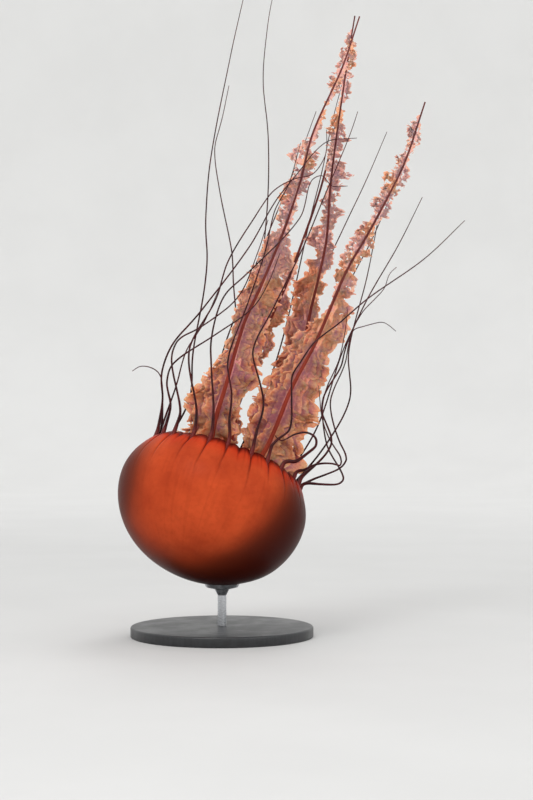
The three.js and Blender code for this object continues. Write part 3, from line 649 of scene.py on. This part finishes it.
def furrow_lines():
    """Each furrow's angle round the bell, length, depth, and the darkness of the painted shade in it."""
    draw = np.random.default_rng(5)
    organs = [FIRST_GROUP + GROUP_PITCH * (k + 0.5) for k in range(GROUPS)]
    lines = [(at, draw.uniform(30, 52), draw.uniform(1.3, 1.9), 1.0) for at in sorted(TENTACLE_ANGLES)]
    lines += [(at, draw.uniform(12, 20), 1.0, 0.7) for at in organs]
    for _ in range(FAINT_FURROWS):
        lines.append((draw.uniform(0, 360), draw.uniform(10, 30), draw.uniform(0.3, 0.6), 0.45))
    return lines


def furrows(radius, from_margin):
    """Furrows that run from the clefts towards the crown: their depth, and the painted shade in them, 0 to 1.
    """
    depth = np.zeros_like(from_margin)
    dark = np.zeros_like(from_margin)
    for k, (at, length, deep, shade) in enumerate(furrow_lines()):
        away = np.radians((COLUMN_ANGLES - at + 180) % 360 - 180) * radius
        wander = FURROW_WANDER * noise(from_margin / 14, k * 3.3, 0.5)
        away = away + wander * smoothstep(from_margin, 2, 20)
        fade = np.exp(-((from_margin / length) ** 2))
        depth += deep * fade * np.exp(-((away / FURROW_HALF_WIDTH) ** 2))
        # The painted shade that follows each furrow, narrower than its dip.
        dark = np.maximum(dark, shade * fade * np.exp(-((away / FURROW_SHADE_HALF_WIDTH) ** 2)))
    return depth, dark


def bell_relief(towards, from_margin):
    """How far the flesh between the furrows stands out, for directions from the bell's middle."""
    # Broad unevenness, none of it at the margin or within 0.3 radians of straight down, where the cup holds.
    down = -BELL_TURN[2]
    from_cup = smoothstep(np.arccos(np.clip(towards @ down, -1, 1)), 0.3, 0.8)
    x, y, z = np.moveaxis(towards * 1.4, -1, 0)
    uneven = BROAD_UNEVENNESS * noise(x + 7, y, z) * from_cup * smoothstep(from_margin, 0, 40)
    from_puff = (from_margin - LAPPET_PUFF_LENGTH) / LAPPET_PUFF_LENGTH
    puff = LAPPET_PUFF * np.exp(-(from_puff**2)) * lappet_lift(COLUMN_ANGLES)
    fine = FINE_UNEVENNESS * noise(COLUMN_ANGLES / 2.2, from_margin / 40, 3.7) * np.exp(-from_margin / 26)
    return uneven + puff + fine


def bell_painted_shade(points, towards):
    """Painted shade on the flesh, 0 to 1: darker low down, on both flanks and on the left shoulder."""
    blur = 12 * noise(towards[..., 0] * 2.4, towards[..., 1] * 2.4, 5.5)
    x, _, z = np.moveaxis(from_bell(points) + blur[..., None], -1, 0)
    above = z - BELL_CENTRE[2]
    low = smoothstep(z, 168, 62)
    right = 0.84 * smoothstep(x - 0.6 * above, 20, 118)
    left = 0.6 * smoothstep(x, -76, -140)
    shoulder = 0.4 * smoothstep(0.5 * above - 0.85 * x, 82, 140)
    return 1 - (1 - low) * (1 - right) * (1 - left) * (1 - shoulder)


def outer_skin(angles, margin):
    """The outer wall's rings, and the numbers that colour them."""
    from_margin = (margin - angles) * np.radians(1) * OUTER_ARC
    radius, height = outer_wall(angles)
    towards = unit(bell_rings(radius, height))
    # The furrows' dips, and the painted shade in them.
    deep, dark = furrows(radius, from_margin)
    relief = bell_relief(towards, from_margin) - deep * smoothstep(from_margin, -1, 3)
    radius, height = outer_wall(angles, relief)
    rings = bell_rings(radius, height)
    # Faint fibres that run from the crown to the margin.
    turn = np.radians(COLUMN_ANGLES)
    fibre = noise(np.cos(turn) * 34, np.sin(turn) * 34, height / 45) * smoothstep(radius, 30, 90)
    # Painted shade on the flesh, low down, on both flanks and on the left shoulder.
    shade = bell_painted_shade(rings, towards)
    return rings, {"from_margin": from_margin, "furrow": dark, "shade": shade, "fibre": fibre}


def inner_skin(angles, margin):
    """The inner wall's rings, folded between the seat and the margin, and the numbers that colour them."""
    from_margin = (margin - angles) * np.radians(1) * INNER_ARC
    tip = smoothstep(angles, MARGIN_ANGLE - 2, MARGIN_ANGLE + 4)
    thick = wall_thickness(angles) * (1 - tip) + LAPPET_EDGE_THICKNESS * tip
    folds = INNER_FOLD_HEIGHT * np.sin(np.radians(COLUMN_ANGLES) * INNER_FOLDS)
    folds = folds * smoothstep(angles, -60, -20) * (1 - smoothstep(angles, 15, 30))
    rings = bell_rings(*outer_wall(angles, -(thick + folds)))
    return rings, {"from_margin": from_margin, "inside": 1}


def margin_edge(outer, inner):
    """Rings that round the margin off, from the last outer ring to the first inner one."""
    start, stop = outer[-1], inner[0]
    rise = unit(outer[-1] - outer[-3])
    bend = np.linspace(0, np.pi, 7)[1:-1, None, None]
    middle, half = (start + stop) / 2, (start - stop) / 2
    return middle + half * np.cos(bend) + rise * np.linalg.norm(half, axis=1)[:, None] * np.sin(bend)


def bell_skin():
    """The whole bell in one closed skin: its outer wall, the margin's rounded edge and its inner wall."""
    outer_angles, inner_angles, margin = bell_rows()
    outer, outer_values = outer_skin(outer_angles, margin)
    inner, inner_values = inner_skin(inner_angles, margin)
    edge = margin_edge(outer, inner)
    parts = [(outer, outer_values), (edge, {}), (inner, inner_values)]
    values = {}
    for key in ("from_margin", "furrow", "inside", "shade", "fibre"):
        rows = [numbers.get(key, 0) + np.zeros(rings.shape[:2]) for rings, numbers in parts]
        values[key] = capped_values(np.concatenate(rows), BELL_COLUMNS)
    points, faces = capped(np.concatenate([outer, edge, inner]))
    piece = mesh_piece("bell_skin", from_bell(points), faces, bell_material(), values)
    part_piece(piece, "bell", "bell_right", "bell_front", "bell_left", "bell_back")


def manubrium_skin():
    """The column that the oral arms leave, flared into the bell's inside at its seat."""
    _, seat = outer_wall(SEAT_ANGLE, -wall_thickness(SEAT_ANGLE))
    rows = np.linspace(0, 1, MANUBRIUM_ROWS)
    z = np.linspace(seat - MANUBRIUM_SUNK, MANUBRIUM_TOP + MANUBRIUM_PROUD, MANUBRIUM_ROWS)
    turn = round_angles(MANUBRIUM_SIDES)
    swell = np.interp(rows, *zip(*MANUBRIUM_SWELL))
    # The round column grows four corners on its way up, one for each oral arm.
    corners = 0.2 * smoothstep(rows, 0.1, 1)
    radius = MANUBRIUM_RADIUS * swell[:, None] * (1 - corners[:, None] * np.cos(4 * turn))
    radius = radius + 0.7 * noise(turn * 6, rows[:, None] * 2.5, 9.1)
    rings = np.stack([radius * np.cos(turn), radius * np.sin(turn), z[:, None] + 0 * turn], axis=-1)
    dome = rings[-1] * (0.72, 0.72, 1) + (0, 0, 2.0)
    points, faces = capped(np.concatenate([rings, [dome]]))
    piece = mesh_piece("manubrium_skin", from_bell(points), faces, manubrium_material())
    part_piece(piece, "manubrium", "manubrium")


# -------- oral arms


def arm_line(arm, step):
    """An oral arm's even samples, their distances from its root, and the directions across and forward."""
    root = from_bell([*arm["root"], MANUBRIUM_TOP + GAP])
    via = [BELL_CENTRE + (x, y, z) for x, z, y in arm["via"]]
    line = smooth_line([root, root + BELL_AXIS * ARM_ROOT_LENGTH, *via])
    samples, distances = even_samples(line, step)
    heading = headings(samples, reach=round(HEADING_REACH / step))
    across = unit(np.cross((0, 1, 0), heading))
    return samples, distances, across, np.cross(across, heading)


def arm_stem(arm, index, material):
    """An oral arm's stem, which starts inside the manubrium and thins to its tip."""
    samples, distances, across, front = arm_line(arm, STEM_STEP)
    samples = np.concatenate([[samples[0] - BELL_AXIS * STEM_SUNK], samples])
    distances = np.concatenate([[0], distances])
    across, front = (np.concatenate([v[:1], v]) for v in (across, front))
    width = np.interp(distances, *zip(*STEM_WIDTHS)) * (1 + 0.08 * noise(distances / 25, index, 0.5))
    rings = tube_rings(samples, width / 2, width * STEM_DEPTH, across, front, STEM_SIDES)
    values = {"distance": capped_values(distances, STEM_SIDES)}
    return mesh_piece(f"oral_arm_{index + 1}_stem", *capped(rings), material, values)


def arm_reach(arm, index, t, distance, side):
    """How far a curtain reaches from the stem, as in the solids."""
    uneven = sum(
        height * np.sin(distance / length + index * arm_shift + side * side_shift)
        for height, length, arm_shift, side_shift in REACH_WAVES
    )
    return along(arm[SIDES[side]], t) * (1 + uneven * np.minimum(1, distance / REACH_WAVES_GROWN))


def scallops(distance, size, wander, place, seed):
    """Lobes from 0 to 1 with a sharp cleft between each two, about three sizes long and unevenly spaced."""
    return np.abs(np.sin(distance / size + 3 * noise(distance / wander, place, seed)))


def curtain_reach(solid_reach, t, distance, seed):
    """How far a curtain's edge is from the stem: ragged, scalloped, and bare where its solid is narrow."""
    ragged = 0.14 * noise(distance / 26, 0.5, seed * 5.1) + 0.08 * noise(distance / 11, 2.5, seed * 3.7)
    # From a third of the way up it is broken into clumps and more finely scalloped.
    upper = smoothstep(t, 0.3, 0.55)
    clump = 0.55 + 0.65 * smoothstep(noise(distance / 15, 6.5, seed * 4.3), -0.4, 0.25)
    clump = 1 + (clump - 1) * upper
    lobes = 2.2 * scallops(distance, 4.6, 30, 8.5, seed) - 1.4
    lobes = lobes + upper * 2.6 * (scallops(distance, 2.3, 16, 4.5, seed * 1.9) - 0.6)
    covered = smoothstep(solid_reach, 5.2, 8.5) * smoothstep(1 - t, 0, 0.05)
    return (solid_reach * (CURTAIN_SHARE + ragged) * clump + lobes) * covered


def folded(points, phase, height, lengthwise, outward, normal, lean, lift):
    """A sheet thrown into folds, which lean over lengthwise and lift outward by shares of their height."""
    return (
        points
        + normal * (height * np.sin(phase))[..., None]
        - lengthwise * (lean * height * np.sin(2 * phase))[..., None]
        + outward * (lift * height * np.cos(2 * phase))[..., None]
    )


def uncut_faces(hole):
    """Those faces of a sheet that no hole cuts, from which of its points are in a hole."""
    return ~(hole[:-1, :-1] & hole[1:, 1:])


def joined_to_root(kept):
    """Those kept faces of a sheet that hang together with its first column."""
    joined = np.zeros_like(kept)
    joined[:, 0] = kept[:, 0]
    count = 0
    while joined.sum() > count:
        count = joined.sum()
        grown = joined.copy()
        grown[1:] |= joined[:-1]
        grown[:-1] |= joined[1:]
        grown[:, 1:] |= joined[:, :-1]
        grown[:, :-1] |= joined[:, 1:]
        joined = grown & kept
    return joined


def curtain_grid(arm, index, side):
    """The points of one ruffled, ragged curtain of an oral arm, and what its flounces and colours need."""
    samples, distances, across, front = arm_line(arm, CURTAIN_STEP)
    seed = index * 2 + (side > 0)
    # Rows run up the stem at shares t of its length, and columns out from it at shares u, closer at the edge.
    distance = distances[:, None]
    t = distance / distances[-1]
    u = 1 - (1 - np.linspace(0, 1, CURTAIN_COLUMNS)) ** 1.3
    solid_reach = arm_reach(arm, index, t, distance, side)
    reach = curtain_reach(solid_reach, t, distance, seed)
    root = CURTAIN_ROOT * np.interp(distance, *zip(*STEM_WIDTHS))
    out = root + u * np.maximum(reach - root, 0.3)

    phase = 2 * np.pi * distance / RUFFLE_WAVE + index * 2 + RUFFLE_SHIFTS[side] + u * RUFFLE_SLANT
    swing = np.minimum(1, distance / RUFFLES_GROWN) * CURTAIN_FOLD_SHARE * RUFFLE_SHARE * solid_reach
    forward = swing * u**RUFFLE_POWER * np.sin(phase)
    points = samples[:, None] + across[:, None] * side * out[..., None] + front[:, None] * forward[..., None]
    size = np.clip(reach / BROAD_CURTAIN, 0.2, 1)
    # How far each point rides up or dips in the ruffles, for the painted shade in their dips.
    fold = 0 * out
    for k, (wave, height, power) in enumerate(CURTAIN_RUFFLES):
        wander = noise(distance / wave / 2.2, out / wave / 2, seed * 7.3 + k)
        phase = 2 * np.pi * distance / wave + 5 * wander + k + 0.8 * out / wave
        uneven = 1 + 0.6 * noise(distance / wave / 3, out / wave, seed + 20 + k)
        lengthwise = unit(np.gradient(points, axis=0))
        outward = unit(np.gradient(points, axis=1))
        normal = unit(np.cross(lengthwise, outward))
        strength = height * size * u**power * uneven
        points = folded(points, phase, strength, lengthwise, outward, normal, lean=0.42, lift=0.35)
        fold = fold + 0.5 * u**power * np.sin(phase)

    # Lace holes, few of them low down and many in the upper half, and none beside the stem.
    lace = noise(distance / 4.2, out / 3.7, seed * 4.7 + 11)
    lace = lace + 0.7 * noise(distance / 2.4, out / 2.2, seed + 31)
    limit = 0.82 - 0.64 * smoothstep(t, 0.42, 0.7) - 0.2 * smoothstep(u, 0.4, 1) + 2 * (u < 0.1)
    kept = joined_to_root(uncut_faces((lace > limit) | (reach < LEAST_CURTAIN)))
    return {
        "points": points, "u": u, "distance": distance, "reach": reach, "fold": fold, "kept": kept,
        "seed": seed, "side": side,
    }


def sheet_piece(name, sheets, material):
    """A thin piece of one or more grids of points, each with the faces that it keeps and its numbers."""
    points, faces, values = [], [], {}
    count = 0
    for grid, kept, numbers in sheets:
        used, chosen = np.unique(grid_faces(*grid.shape[:2])[kept.ravel()], return_inverse=True)
        points.append(grid.reshape(-1, 3)[used])
        faces.append(chosen.reshape(-1, 4) + count)
        count += len(used)
        for key, number in numbers.items():
            values.setdefault(key, []).append((number + np.zeros(grid.shape[:2])).ravel()[used])
    values = {key: np.concatenate(numbers) for key, numbers in values.items()}
    piece = mesh_piece(name, np.concatenate(points), np.concatenate(faces), material, values)
    solid = piece.modifiers.new("thickness", "SOLIDIFY")
    solid.thickness = CURTAIN_THICKNESS * MM
    solid.offset = 0
    return piece


def flounce_directions(points, column, facing):
    """Directions along a flounce's root, out along it, and square to it, at each row of its curtain."""
    outward = unit(evened(points[:, column + 2] - points[:, column - 2], 6))
    lengthwise = unit(evened(np.gradient(points[:, column], axis=0), 6))
    normal = unit(np.cross(outward, lengthwise)) * facing
    lean = math.radians(FLOUNCE_LEAN)
    rise = outward * math.cos(lean) + normal * math.sin(lean)
    return lengthwise[:, None], rise[:, None], np.cross(lengthwise, rise)[:, None]


def flounce_height(reach, t, distance, upper, k, seed):
    """How far a flounce stands at each row: in lobes and patches, with a wavy edge that froths higher up."""
    lobes = np.cumsum(CURTAIN_STEP / along(FLOUNCE_LOBES, t), axis=0)
    lobe = np.abs(np.sin(np.pi * lobes + 2.2 * noise(distance / 30, k * 2.7, seed * 1.9) + k * 1.3))
    patchy = smoothstep(noise(distance / 22, k * 3.1, seed * 2.9), -0.5, 0.0)
    height = FLOUNCE_HEIGHT * np.maximum(reach, 8) * (0.6 + 0.6 * lobe)
    height = height * smoothstep(reach, 5, 9) * patchy
    height = height + 0.7 * np.sin(distance / 1.4 + 4 * noise(distance / 12, k, seed + 3))
    return height + 1.8 * upper * (scallops(distance, 2.2, 14, k, seed + 5) - 0.6)


def flounce(grid, k, face):
    """One flounce on a curtain's front or back: a strip of lobes that curls outwards, with a ruffled edge."""
    points, distance = grid["points"], grid["distance"]
    seed = grid["seed"] + 7 * (face > 0)
    column = int(np.argmin(np.abs(grid["u"] - FLOUNCE_ROOTS[k])))
    lengthwise, rise, square = flounce_directions(points, column, face * grid["side"])
    t = distance / distance[-1]
    upper = smoothstep(t, 0.36, 0.62)
    height = flounce_height(grid["reach"], t, distance, upper, k, seed)

    v = np.linspace(0, 1, FLOUNCE_COLUMNS)
    strip = points[:, column, None] - rise * FLOUNCE_SUNK + rise * (height * v)[..., None]
    strip = strip + square * (FLOUNCE_CURL * height * v**2)[..., None]
    # How far each point rides up or dips in the ruffles, for the painted shade in their dips.
    fold = 0 * height * v
    for j, (wave, size) in enumerate(FLOUNCE_RUFFLES):
        wander = noise(distance / wave / 2, k * 2.3 + j, seed * 1.3)
        phase = 2 * np.pi * distance / wave + 4 * wander + 0.5 * v
        strength = size * np.clip(height / TALL_FLOUNCE, 0, 1) * v ** (1 + 0.6 * j)
        strip = folded(strip, phase, strength, lengthwise, rise, square, lean=0.5, lift=0.3)
        fold = fold + 0.5 * v * np.sin(phase)

    # It hangs only where its curtain is kept, and has many lace holes in its upper half.
    held = grid["kept"][:, column]
    tall = height[:, 0] > LEAST_FLOUNCE
    lace = noise(distance / 3.8, height * v / 3.2, seed * 2.3 + k)
    lace = lace + 0.6 * noise(distance / 2.2, height * v / 2, seed + 51)
    kept = (held & tall[:-1] & tall[1:])[:, None] & uncut_faces(lace > 1.1 - 0.95 * upper)
    return strip, joined_to_root(kept), {"edge": v, "fold": fold, "distance": distance}


def curtain_pieces(arm, index, side, material):
    """One curtain of an oral arm, and then the flounces on each of its faces."""
    name = f"oral_arm_{index + 1}_{SIDES[side]}"
    grid = curtain_grid(arm, index, side)
    values = {"edge": grid["u"], "fold": grid["fold"], "distance": grid["distance"]}
    yield sheet_piece(f"{name}_frill", [(grid["points"], grid["kept"], values)], material)
    for place, face in (("front", 1), ("back", -1)):
        strips = [flounce(grid, k, face) for k in range(len(FLOUNCE_ROOTS))]
        yield sheet_piece(f"{name}_{place}_flounces", strips, material)


def oral_arms():
    stem, frill = stem_material(), frill_material()
    for index, arm in enumerate(ORAL_ARMS):
        nodes = [f"oral_arm_{index + 1}_{part}" for part in ("near", "far")]
        part_piece(arm_stem(arm, index, stem), "oral_arms", *nodes)
        for side in SIDES:
            for piece in curtain_pieces(arm, index, side, frill):
                part_piece(piece, "oral_arms", *nodes)


# -------- tentacles


def in_wall(degrees, angle):
    """A point in the middle of the bell's wall, at an angle round the bell and an angle up it."""
    radius, height = outer_wall(angle, -wall_thickness(angle) / 2)
    turn = math.radians(degrees)
    return from_bell([radius * math.cos(turn), -radius * math.sin(turn), height])


def strand_rings(node, start):
    """The rings of a strand's solid, from the one nearest a point onwards, each as its middle and radius."""
    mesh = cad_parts[node].data
    corners = np.zeros(len(mesh.vertices) * 3)
    mesh.vertices.foreach_get("co", corners)
    points, index = np.unique(np.round(corners.reshape(-1, 3) / MM, 2), axis=0, return_inverse=True)
    index = index.ravel()
    links = [set() for _ in points]
    for edge in mesh.edges:
        a, b = (index[v] for v in edge.vertices)
        links[a].add(b)
        links[b].add(a)
    ring = set(np.argsort(np.linalg.norm(points - start, axis=1))[:TENTACLE_SIDES])
    seen, rings = set(), []
    while ring:
        seen |= ring
        middle = points[list(ring)].mean(axis=0)
        rings.append((middle, np.linalg.norm(points[list(ring)] - middle, axis=1).mean()))
        ring = {n for v in ring for n in links[v]} - seen
    return rings


def carried_normals(heading):
    """Directions square to a line's headings, which turn round the line as little as they can."""
    normal = np.zeros_like(heading)
    last = np.array([0.0, 1.0, 0.0])
    for i, ahead in enumerate(heading):
        last = unit(last - ahead * (last @ ahead))
        normal[i] = last
    return normal


def tentacle(number, degrees, material):
    """One tentacle, whole, on the line of its solids' rings, with its root sunk in the bell's margin."""
    name = f"tentacle_{number:02d}"
    nodes = [n for n in (name, f"{name}_near", f"{name}_far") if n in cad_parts]
    sunk, cleft = in_wall(degrees, ROOT_ANGLE), in_wall(degrees, MARGIN_ANGLE)
    rings = [(sunk, ROOT_RADIUS), (cleft, CLEFT_RADIUS)]
    for node in nodes:
        rings += strand_rings(node, rings[-1][0])
    middles, radii = (np.array(v) for v in zip(*rings))
    steps = np.linalg.norm(np.diff(middles, axis=0), axis=1)
    kept = np.concatenate([[True], steps > LEAST_RING_STEP])
    middles, radii = middles[kept], radii[kept]
    at = distances_along(middles)
    samples, distances = even_samples(smooth_line(middles), TENTACLE_STEP)
    radius = np.interp(distances / distances[-1], at / at[-1], radii)
    radius = radius * (1 + 0.06 * noise(distances / 5, number * 1.7, 0.5))
    heading = headings(samples, reach=2)
    normal = carried_normals(heading)
    rings = tube_rings(samples, radius, radius, normal, np.cross(heading, normal), TENTACLE_SKIN_SIDES)
    from_cleft = distances - np.linalg.norm(cleft - sunk)
    values = {"distance": capped_values(from_cleft, TENTACLE_SKIN_SIDES)}
    piece = mesh_piece(name + "_skin", *capped(rings), material, values)
    part_piece(piece, "tentacles", *nodes)


def tentacles():
    material = tentacle_material()
    for number, degrees in enumerate(TENTACLE_ANGLES, start=1):
        tentacle(number, degrees, material)


# -------- stand


def stand():
    """The round base, with its top edge rounded, and the solids' own rod in steel."""
    _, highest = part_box("stand_base")
    radius, _, top = np.array(highest) / MM
    profile = [(radius - BASE_CHAMFER, 0), (radius, BASE_CHAMFER)]
    for turn in np.linspace(0, np.pi / 2, 8):
        out, up = BASE_EDGE * math.cos(turn), BASE_EDGE * math.sin(turn)
        profile.append((radius - BASE_EDGE + out, top - BASE_EDGE + up))
    profile.append((radius / 2, top))
    rings = turned_rings(profile, sides=160)
    base = mesh_piece("stand_base_top", *capped(rings), painted_wood())
    part_piece(base, "stand_base", "stand_base")
    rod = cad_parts["stand_rod"]
    rod.data.materials.clear()
    rod.data.materials.append(brushed_steel())


# -------- studio


def floor():
    """A pale floor that curves up into a wall all round."""
    flat = FLOOR_REACH - FLOOR_BEND
    profile = [(r, 0) for r in range(FLOOR_STEP, flat + 1, FLOOR_STEP)]
    for turn in np.linspace(0, np.pi / 2, 16)[1:]:
        profile.append((flat + FLOOR_BEND * math.sin(turn), FLOOR_BEND - FLOOR_BEND * math.cos(turn)))
    profile.append((FLOOR_REACH, WALL_TOP))
    sides = 96
    points = np.concatenate([turned_rings(profile, sides).reshape(-1, 3), [(0, 0, 0)]])
    faces = list(grid_faces(len(profile), sides, closed=True))
    faces += [(len(points) - 1, (j + 1) % sides, j) for j in range(sides)]
    away = np.linalg.norm(points, axis=1) * MM
    mesh_piece("floor", points, faces, floor_material(), {"away": away})


def area_light(name, place, size, watts):
    light = bpy.data.lights.new(name, "AREA")
    light.shape = "DISK"
    light.size = size * MM
    light.energy = watts
    lamp = add_object(name, light)
    lamp.location = np.array(place) * MM
    aim = np.array(LIGHT_AIM) * MM - np.array(lamp.location)
    lamp.rotation_euler = Vector(aim).to_track_quat("-Z", "Y").to_euler()


def lights():
    """Even light from all round, and three large soft lamps aimed at the jellyfish."""
    world = bpy.data.worlds.new("studio")
    world.use_nodes = True
    inputs = world.node_tree.nodes["Background"].inputs
    inputs["Color"].default_value = (1, 1, 1, 1)
    inputs["Strength"].default_value = WORLD_LIGHT
    bpy.context.scene.world = world
    area_light("key", place=(-700, -1500, 1900), size=1000, watts=20)
    area_light("fill", place=(1500, -1500, 900), size=1200, watts=5)
    area_light("rim", place=(500, 1500, 2900), size=1200, watts=20)


def camera():
    """A level camera that frames the jellyfish as the photograph does, with colours shown as they are."""
    data = bpy.data.cameras.new("camera")
    data.sensor_width = SENSOR
    data.lens = SENSOR * CAMERA_DISTANCE / (PHOTO_HEIGHT * PHOTO_SCALE)
    data.clip_end = 50
    made = add_object("camera", data)
    right, up = (pixels * PHOTO_SCALE for pixels in PHOTO_MIDDLE)
    made.location = (BELL_CENTRE + (right, -CAMERA_DISTANCE, up)) * MM
    made.rotation_euler = (math.pi / 2, 0, 0)
    bpy.context.scene.camera = made
    bpy.context.scene.view_settings.view_transform = "Standard"


# -------- the object and its studio

bell_skin()
manubrium_skin()
oral_arms()
tentacles()
stand()
floor()
lights()
camera()
